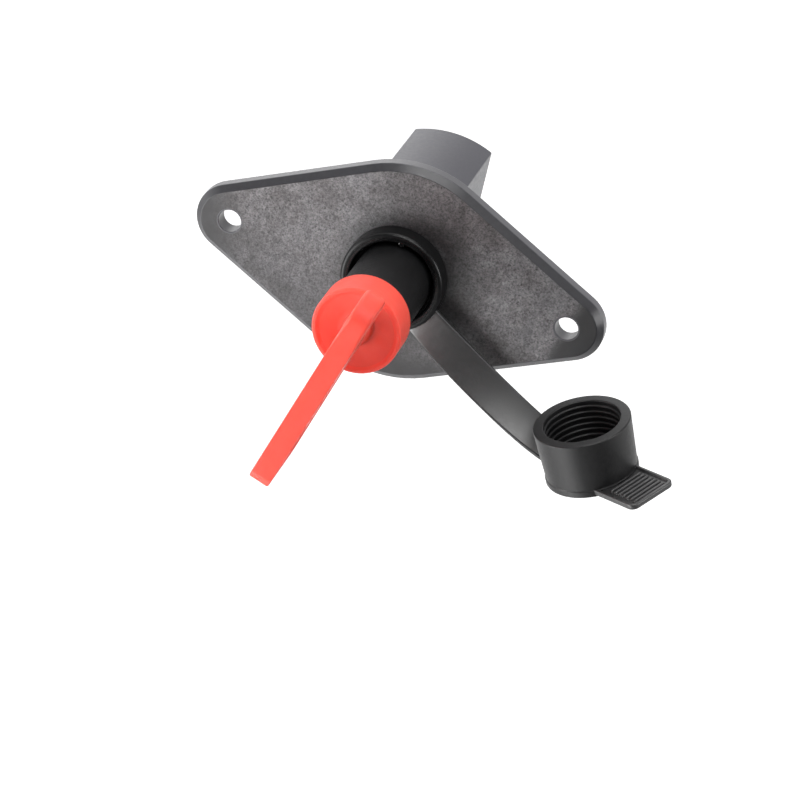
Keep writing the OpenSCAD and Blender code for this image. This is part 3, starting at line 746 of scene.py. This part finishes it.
def make_screw(name, y, node):
    """Pan head screw with a hexagon socket and a plain shank."""
    g = Mesh()
    n, r, head_r, head_end, socket = 72, 1.5, 2.75, BACK - 2.2, 2.5
    prof = rounded([(r, BACK), (head_r, BACK), (head_r, head_end), (1.75, head_end)], [0, 0.2, 0.7, 0])
    t = angles(n)
    sides = ((1.03, head_end), (0.97, BACK - 2.05), (0.97, BACK - 1.0), (0.02, BACK - 0.85))
    head = list(lathe(prof, n)) + [polar(hex_radius(socket, t) * k, t, z) for k, z in sides]
    g.skin(head, place=moved(0, y, 0))
    shank = lathe([(r, BACK), (r, BACK + 12.6), (1.0, BACK + 13.3), (AXIS, BACK + 13.3)], 32)
    g.skin(shank, place=moved(0, y, 0))
    ob = g.build(name, "housing", [ZINC])
    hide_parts(node)


for word, side in (("upper", 1), ("lower", -1)):
    y = side * STUD_Y
    make_stud("stud_%s_thread" % word, y, "stud_" + word)
    make_nut("clamp_nut_%s_hex" % word, y, -40.9, 5.0, "clamp_nut_" + word)
    make_nut("terminal_nut_%s_hex" % word, y, -48.1, 8.0, "terminal_nut_" + word)
    make_flat_washer("flat_washer_%s_disc" % word, y, "flat_washer_" + word)
    make_spring_washer("spring_washer_%s_coil" % word, y, "spring_washer_" + word)
    make_screw("base_screw_%s_head" % word, side * SCREW_Y, "base_screw_" + word)

# ---------------------------------------------------------------- sealing cap

CUP_ROT = rot_xyz(-80.0, -39.9, 16.4)
TAB_DIR, MOUTH_DIR = CUP_ROT[:, 0], CUP_ROT[:, 2]
CAP_MATS = [RUBBER, RING, GROOVE_SHADE, STRAP, TAB, WALL]
ON_CUP, ON_BEAD, ON_GROOVE_SHADE, ON_STRAP, ON_TAB, ON_WALL = range(6)


def in_cup(p):
    return p @ CUP_ROT.T + CUP_POS


def make_ring(g):
    """Ring: an inner flange on the neck, a groove, and a round outer bead with a small
    moulding gate on its inner side."""
    back, top = RING_BACK, RING_BACK + RING_H
    prof = rounded(
        [
            (13.0, back), (RING_GRIP_R, back), (RING_GRIP_R, back + 2), (RING_IN_R, back + 2),
            (RING_IN_R, top), (RING_OUT_R, top), (RING_OUT_R, back), (13.0, back),
        ],
        [0, 0.3, 0.3, 0.35, 0.8, 1.3, 0.5, 0],
        8,
    )
    crest = next(i for i, (r, z) in enumerate(prof) if r > 13 and z > top - 1.5)
    outer = next(i for i, (r, _) in enumerate(prof) if i > crest and r > 15.0)
    turned = lathe(prof, 192)
    # the groove and inner flange take the darker rubber: painted shade deep in the groove
    g.skin(turned[:crest + 1], mat=ON_GROOVE_SHADE)
    g.skin(turned[crest:outer + 1], mat=ON_BEAD)
    g.skin(turned[outer:], mat=ON_WALL)
    gate = rounded([(AXIS, 0.9), (1.0, 0.9), (1.0, -0.9), (AXIS, -0.9)], [0, 0.45, 0.45, 0], 4)
    a = math.radians(88)
    place = moved(RING_IN_R * math.cos(a), RING_IN_R * math.sin(a), back + 6.2)
    g.skin(lathe(gate, 20), mat=ON_BEAD, place=place)


def make_strap(g):
    """Strap: section swept along a cubic curve. The width vector turns from the ring's plane
    to the cup's base, and a thin groove in both faces near the cup makes its hinge."""
    # p0 lies in the ring and p3 in the edge of the cup's base; p1 and p2 are the curve's handles
    p0 = np.array([11.5, -9.6, 10.3])
    p1 = p0 + np.array([9.2, -5.3, 2.5])
    p3 = CUP_POS - TAB_DIR * 14.0 + MOUTH_DIR * 1.6
    p2 = p3 - np.array([15.0, -2.3, 3.5])
    corner = STRAP_CORNER_R
    wide, thick = STRAP_HALF_W - corner, STRAP_HALF_T - corner
    section = []
    for sx, sy, start in ((1, 1, 0), (-1, 1, 90), (-1, -1, 180), (1, -1, 270)):
        for a in np.radians(start + 18 * np.arange(6)):
            section.append((sx * wide + corner * math.cos(a), sy * thick + corner * math.sin(a)))
        if start in (0, 180):
            section += [(sx * q * wide, sy * STRAP_HALF_T) for q in np.linspace(0.85, -0.85, 9)]
    section = np.array(section)
    across_ring = np.cross(unit(p1 - p0), [0, 0, 1])
    across_cup = np.cross(TAB_DIR, MOUTH_DIR)
    hinge_at, hinge_w, hinge_depth = 0.925, 0.012, 0.45
    rings = []
    for t in np.linspace(0, 1, 120):
        s = 1 - t
        point = s ** 3 * p0 + 3 * s ** 2 * t * p1 + 3 * s * t * t * p2 + t ** 3 * p3
        way = unit(s ** 2 * (p1 - p0) + 2 * s * t * (p2 - p1) + t * t * (p3 - p2))
        width = s * across_ring + t * across_cup
        width = unit(width - way * (width @ way))
        thin = 1 - hinge_depth * math.exp(-((t - hinge_at) / hinge_w) ** 2)
        rings.append(point + section[:, :1] * width + section[:, 1:] * thin * np.cross(way, width))
    g.skin(rings, mat=ON_STRAP, cap_first=True, cap_last=True)
    # the lower long edge takes the darker cup rubber: painted shade on the side that turns away
    # from the lamps; the skin's quads lie row by row before its two caps
    n, rows = len(section), len(rings) - 1
    first = len(g.m) - rows * n - 2
    shaded_edge = section[:, 0] + np.roll(section[:, 0], -1) > 2 * (STRAP_HALF_W - 0.62)
    for i in range(rows):
        for j in np.flatnonzero(shaded_edge):
            g.m[first + i * n + j] = ON_CUP


def make_cup(g):
    """Cup with a thin lip line above its base disc and round grip ridges inside."""
    outer = rounded(
        [
            (AXIS, 0), (13.9, 0), (CUP_FOOT_R, 0.5), (CUP_FOOT_R, 2.3), (14.5, 2.75),
            (CUP_RIM_R, CUP_H), (CUP_IN_R, CUP_H), (CUP_IN_R, CUP_H - 1),
        ],
        [0, 1.2, 0.5, 0.3, 0.2, 0.45, 0.35, 0],
    )
    ridges, pitch, top, depth, half = 7, 2.05, 17.2, 0.5, 0.48
    inner = []
    for k in range(ridges):
        for a in np.radians(np.linspace(90, -90, 7)):
            inner.append((CUP_IN_R - depth * math.cos(a), top - k * pitch + half * math.sin(a)))
    inner += [(CUP_IN_R, 2.9), (11.6, CUP_BASE_T), (AXIS, CUP_BASE_T)]
    g.skin(lathe(np.concatenate([outer, inner]), 160), mat=ON_CUP, place=in_cup)


def make_tab(g):
    """Pull tab: a height grid over a rectangle with two round corners. A narrow border stands
    round a sunk floor, and seven ribs with round ends cross it."""
    x0, x1, half, soft = 11.0, 28.9, 8.8, 2.4
    top_z, border, floor_depth, wall_w, edge_w, edge_drop = 2.8, 1.2, 0.75, 0.16, 0.4, 0.3
    ribs, rib_x, rib_pitch, rib_half, rib_r, rib_h = 7, 16.0, 1.77, 5.7, 0.66, 0.72
    uu, vv = np.meshgrid(np.linspace(0, 1, 200), np.linspace(-1, 1, 110), indexing="ij")
    x = x0 + (x1 - x0) * uu
    past = np.clip(x - (x1 - soft), 0, soft)
    y = vv * (half - soft + np.sqrt(soft ** 2 - past ** 2))
    corner = soft - np.hypot(past, np.clip(np.abs(y) - (half - soft), 0, None))
    in_corner = (past > 0) & (np.abs(y) > half - soft)
    edge = np.where(in_corner, corner, np.minimum(half - np.abs(y), x1 - x))
    top = top_z - edge_drop * np.clip(1 - edge / edge_w, 0, 1) ** 2
    floor = floor_depth * smooth_step((edge - border) / wall_w * 0.5 + 0.5)
    swell = np.zeros_like(x)
    for k in range(ribs):
        d = np.hypot(x - (rib_x + rib_pitch * k), np.clip(np.abs(y - 0.2) - rib_half, 0, None))
        swell = np.maximum(swell, np.sqrt(np.clip(1 - (d / rib_r) ** 2, 0, 1)))
    pts = np.stack([x, y, top - floor + np.where(floor > 0.4, rib_h, 0) * swell], 2)

    def place(p):
        """The tab sits a little beside the cup's middle line and 4 degrees askew."""
        return in_cup(turn_z(4)(p + np.array([0, -0.4, 0])))

    g.skin(list(pts), mat=ON_TAB, closed=False, place=place)
    # walls below the border of the grid, pulled in at the lower edge, and the underside
    loop = np.concatenate([pts[:, 0], pts[-1, 1:-1], pts[::-1, -1]])
    out = loop[:, :2] - np.array([20.0, 0])
    out = out / np.maximum(np.linalg.norm(out, axis=1, keepdims=True), 1)
    rows = [loop]
    for grow, z in ((0.0, 2.2), (0.0, 1.3), (-0.1, 1.08), (-0.3, 1.0)):
        rows.append(at_height(loop[:, :2] + out * grow, z))
    g.skin(rows, mat=ON_TAB, closed=False, place=place)
    g.flat(rows[-1], mat=ON_TAB, place=place)


def make_cap():
    """Sealing cap: ring, strap, cup and pull tab in one mesh."""
    g = Mesh()
    make_ring(g)
    make_strap(g)
    make_cup(g)
    make_tab(g)
    ob = g.build("sealing_cap_moulding", "sealing_cap", CAP_MATS, sharp=50)
    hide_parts("sealing_cap")


make_cap()

# ---------------------------------------------------------------- key


def in_key(p):
    """Key frame (along the arm, height above the collar's back, across) to panel frame."""
    q = np.stack([p[:, 0], p[:, 2], p[:, 1] + COLLAR_BACK], 1)
    return turn_z(KEY_ANGLE)(q)


def on_collar(p):
    return turn_z(KEY_ANGLE)(p + np.array([0, 0, COLLAR_BACK]))


def paddle_loop(crisp, soft, side):
    """Outline pulled in and raised: the crisp edge of the arm turns into the soft one at both
    ends, wholly at the short one and in part at the long one."""
    a, b, line = (belt(PADDLE, inset, 0, per=56) for inset in (crisp[0], soft[0], 0))
    along = line[:, :1]
    w = smooth_step((-6.0 - along) / 9.0) + 0.35 * np.clip((along - 39.0) / 6.0, 0, 1)
    flat = a[:, :2] * (1 - w) + b[:, :2] * w
    return np.concatenate([flat, side * (crisp[1] * (1 - w) + soft[1] * w)], 1)


def make_paddle(g):
    """Paddle: on each side the edge, a sunk panel with the lanyard hole and two bare plaques."""
    floor, plaque_top = PADDLE_HALF_T - PANEL_DEPTH, PADDLE_HALF_T - 0.08

    def edge(r):
        """Inset and height from the middle of the edge, over the border, to the panel."""
        return rounded(
            [(0, 0), (0, PADDLE_HALF_T), (2.4, PADDLE_HALF_T), (2.9, floor), (4.2, floor)],
            [0, r, 0.25, 0.25, 0],
            8,
        )

    wall = ((2.45, floor), (2.2, floor - 0.08), (2.15, floor - 0.3), (2.15, 0))
    step = rounded([(-0.5, floor), (0, floor), (0.12, plaque_top), (1.0, plaque_top)], [0, 0.12, 0.15, 0], 4)
    for side in (1, -1):
        rows = [paddle_loop(crisp, soft, side) for crisp, soft in zip(edge(0.2), edge(2.2))]
        g.skin(rows, place=in_key)
        tube = [ring(*LANYARD_HOLE, r, side * z, 48) for r, z in wall]
        g.skin(tube, place=in_key)
        feet = [tube[0]]
        for shape in (PILL, DIAMOND):
            plaque = [belt(shape, inset, side * z, per=32) for inset, z in step]
            g.skin(plaque, place=in_key)
            g.flat(plaque[-1], place=in_key)
            feet.append(plaque[0])
        g.flat(rows[-1], feet, place=in_key)


def make_collar(g):
    """Collar with a thin raised rim round a shallow dish, which gets a darker copy of the red
    as painted shade, and the shank with a rounded tip."""
    prof = rounded(
        [
            (AXIS, 0), (COLLAR_R, 0), (COLLAR_R, COLLAR_H), (12.8, COLLAR_H), (11.6, 11.05),
            (6, 9.3), (AXIS, 9.2),
        ],
        [0, 0.5, 0.9, 0.6, 1.5, 6.0, 0],
        8,
    )
    turned = lathe(prof, 192)
    lip = next(i for i, (r, z) in enumerate(prof) if 9 < z < 11.35 and r < 13)
    g.skin(turned[:lip + 1], mat=0, place=on_collar)
    # the dish takes material 1, the darker red: painted shade in the recess
    g.skin(turned[lip:], mat=1, place=on_collar)
    shank = rounded([(SHANK_R, 0.5), (SHANK_R, SHANK_END), (AXIS, SHANK_END)], [0, 1.4, 0])
    g.skin(lathe(shank, 96), place=moved(0, 0, COLLAR_BACK))


def make_stem(g):
    """Stem: sections from a round foot on the collar to a flat bar as thick as the paddle.
    The half width follows a concave flare toward the paddle, the half thickness a smooth step."""
    t = angles(96)
    c, s = np.cos(t), np.sin(t)
    start, rise, slim, flare, thick, flat = 8.9, 14.4, 4.6, 8.2, 3.7, 3.1
    foot_at, foot_fade, foot_out = 9.3, 0.8, 0.9
    rings = []
    for k in np.linspace(0, 1, 34):
        v = start + rise * k
        half_w = slim + flare * k ** 2.2
        half_t = thick + (flat - thick) * smooth_step(k)
        foot = foot_out * math.exp(-(v - foot_at) / foot_fade)
        power = 2.0 + 4.0 * k  # 2 gives an ellipse, more a rounded bar
        r = (np.abs(c) ** power + np.abs(s) ** power) ** (-1 / power)
        rings.append(np.stack([(half_w + foot) * r * c, np.full(len(t), v), (half_t + foot) * r * s], 1))
    g.skin(rings, place=in_key)


def make_key():
    """Key: paddle, collar, shank and stem in one mesh."""
    g = Mesh()
    make_paddle(g)
    make_collar(g)
    make_stem(g)
    ob = g.build("key_moulding", "key", [RED, RED_DISH_SHADED], sharp=40)
    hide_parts("key")


def make_pin():
    """Cross pin of the shank: a rod with rounded ends, laid along the arm."""

    def laid(p):
        return turn_z(KEY_ANGLE)(np.stack([p[:, 2], p[:, 0], p[:, 1] + PIN_Z], 1))

    g = Mesh()
    prof = [(AXIS, PIN_HALF_L), (PIN_R, PIN_HALF_L), (PIN_R, -PIN_HALF_L), (AXIS, -PIN_HALF_L)]
    g.skin(lathe(rounded(prof, [0, 0.35, 0.35, 0]), 48), place=laid)
    ob = g.build("key_pin_steel", "key", [ZINC])
    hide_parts("key_pin")


make_key()
make_pin()

# ---------------------------------------------------------------- inner CAD nodes keep their shape

for node, mat in (
    ("rotor", ACETAL), ("rotor_seal", SEAL), ("contact_carriage", PHENOLIC), ("contact_bridge", BRASS),
    ("bridge_clip", SPRING), ("contact_spring", SPRING), ("return_spring", SPRING),
):
    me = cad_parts[node].data
    if len(me.materials) == 0:
        me.materials.append(mat)
    for i in range(len(me.materials)):
        me.materials[i] = mat

# ---------------------------------------------------------------- camera, floor and light


def placed(ob, x, y, z, where):
    """Turns an object to the given axes, moves it and links it to the scene."""
    m = Matrix.Identity(4)
    for i in range(3):
        m[i][0], m[i][1], m[i][2], m[i][3] = x[i], y[i], z[i], where[i]
    ob.matrix_world = m
    bpy.context.scene.collection.objects.link(ob)
    return ob


def make_camera():
    """Camera fitted to the edges of the part: turned by azimuth, height and roll in degrees,
    then moved off its aim in millimetres; the focal length is given for a picture 800 wide."""
    azimuth, height, roll = (math.radians(q) for q in (9.319, 27.421, 13.704))
    distance, off_right, off_up, aim = 1051.549, 0.867, 42.166, np.array([0, 1.2, 0])
    focal, picture, sensor = 3340, 800, 36
    c, s = math.cos(height), math.sin(height)
    back = np.array([math.sin(azimuth) * c, -math.cos(azimuth) * c, s])
    level = np.array([math.cos(azimuth), math.sin(azimuth), 0])
    upright = np.cross(back, level)
    right = math.cos(roll) * level + math.sin(roll) * upright
    up = -math.sin(roll) * level + math.cos(roll) * upright
    where = (back * distance - right * off_right - up * off_up + aim) * 0.001
    cam = bpy.data.cameras.new("camera")
    cam.lens, cam.sensor_width, cam.sensor_fit = focal * sensor / picture, sensor, "HORIZONTAL"
    cam.clip_start, cam.clip_end = 0.05, 20
    ob = placed(bpy.data.objects.new("camera", cam), right, up, back, where)
    bpy.context.scene.camera = ob


def make_stage():
    """White sweep: a floor that curves up far behind. It glows for the camera, which sees it
    white everywhere, and for mirrors, more so toward the back. To every other ray it is a
    diffuse surface, grey in front and pale behind, that takes the soft shadow."""
    floor, front, bend, r, half_w, n = -0.65, -2.2, 2.8, 0.9, 3, 48
    rows = []
    for q in np.linspace(0, 1, n):
        a = max(q - 0.6, 0) / 0.4 * math.pi / 2
        depth = front + (bend - front) * min(q / 0.6, 1) + r * math.sin(a)
        height = floor + r * (1 - math.cos(a))
        rows += [(-half_w, depth, height), (half_w, depth, height)]
    me = bpy.data.meshes.new("sweep")
    me.from_pydata(rows, [], [(2 * i, 2 * i + 1, 2 * i + 3, 2 * i + 2) for i in range(n - 1)])
    m = Material("sweep_white")
    _, y, _ = m.axes()
    pale = m.mix(m.noise(3.0, 2, 0.5).fit(0.2, 0.8), (0.80, 0.80, 0.80), (0.83, 0.83, 0.83))
    m.put("Base Color", m.mix(y.fit(-0.4, 0.5), (0.36, 0.36, 0.36), pale))
    m.put("Roughness", 0.9)
    camera, glossy, clear = m.rays("Camera", "Glossy", "Transmission")
    seen = camera * y.fit(-0.4, 0.5, 1.28, 1.0)
    mirrored = (glossy + clear) * y.fit(-0.5, 0.9, 0.1, 1.3)
    m.put("Emission Color", (1, 1, 1, 1))
    m.put("Emission Strength", (seen + mirrored) * 0.75)
    me.materials.append(m.m)
    ob = bpy.data.objects.new("sweep", me)
    bpy.context.scene.collection.objects.link(ob)


def area(name, where, aim, size, power):
    """Rectangular lamp that looks from where to aim, its width level."""
    lamp = bpy.data.lights.new(name, "AREA")
    lamp.shape, lamp.energy = "RECTANGLE", power
    lamp.size, lamp.size_y = size
    z = unit(np.array(where, float) - np.array(aim, float))
    x = unit(np.cross([0, 0, 1], z))
    placed(bpy.data.objects.new(name, lamp), x, np.cross(z, x), z, where)


def make_world():
    """Pale wall behind the panel, brighter toward its left, and a dimmer room in front. The
    camera sees plain white, and so do mirrors in what lies far behind the panel."""
    world = bpy.data.worlds.new("studio")
    bpy.context.scene.world = world
    tree = Tree(world, "Generated")
    x, y, _ = tree.axes()
    wall = (x * -1.2 + y).fit(0.45, 1.35, 0.06, 2.1, smooth=False)
    camera, glossy, clear = tree.rays("Camera", "Glossy", "Transmission")
    mirror = (glossy + clear) * y.fit(0.25, 0.85, smooth=False)
    background = tree.nodes["Background"]
    background.inputs["Color"].default_value = (1, 1, 1, 1)
    tree.links.new(wall.at_least(camera + mirror).sock, background.inputs["Strength"])


make_camera()
make_stage()
for name, where, aim, size, power in (
    ("left", (-0.42, -0.34, -0.12), (0, 0, 0), (0.3, 0.3), 2.1),
    ("left_low", (-0.31, -0.34, -0.33), (0, 0, 0), (0.3, 0.3), 1.65),
    ("low", (-0.10, -0.36, -0.43), (0, 0, 0), (0.3, 0.3), 1.15),
    ("overhead", (-0.10, 0.10, 1.05), (0, 0, 0), (0.7, 0.7), 4.8),
    ("front_high", (0.20, -0.68, 0.84), (0.03, 0, 0), (0.36, 0.8), 4.6),
    ("front_left", (-0.20, -0.56, 0.93), (0, 0, 0), (0.16, 0.16), 2.8),
    ("right_edge", (1.00, -0.16, 0.34), (0, 0, 0), (0.34, 0.5), 5.6),
):
    area(name, where, aim, size, power)
make_world()
bpy.context.scene.view_settings.view_transform = "Standard"
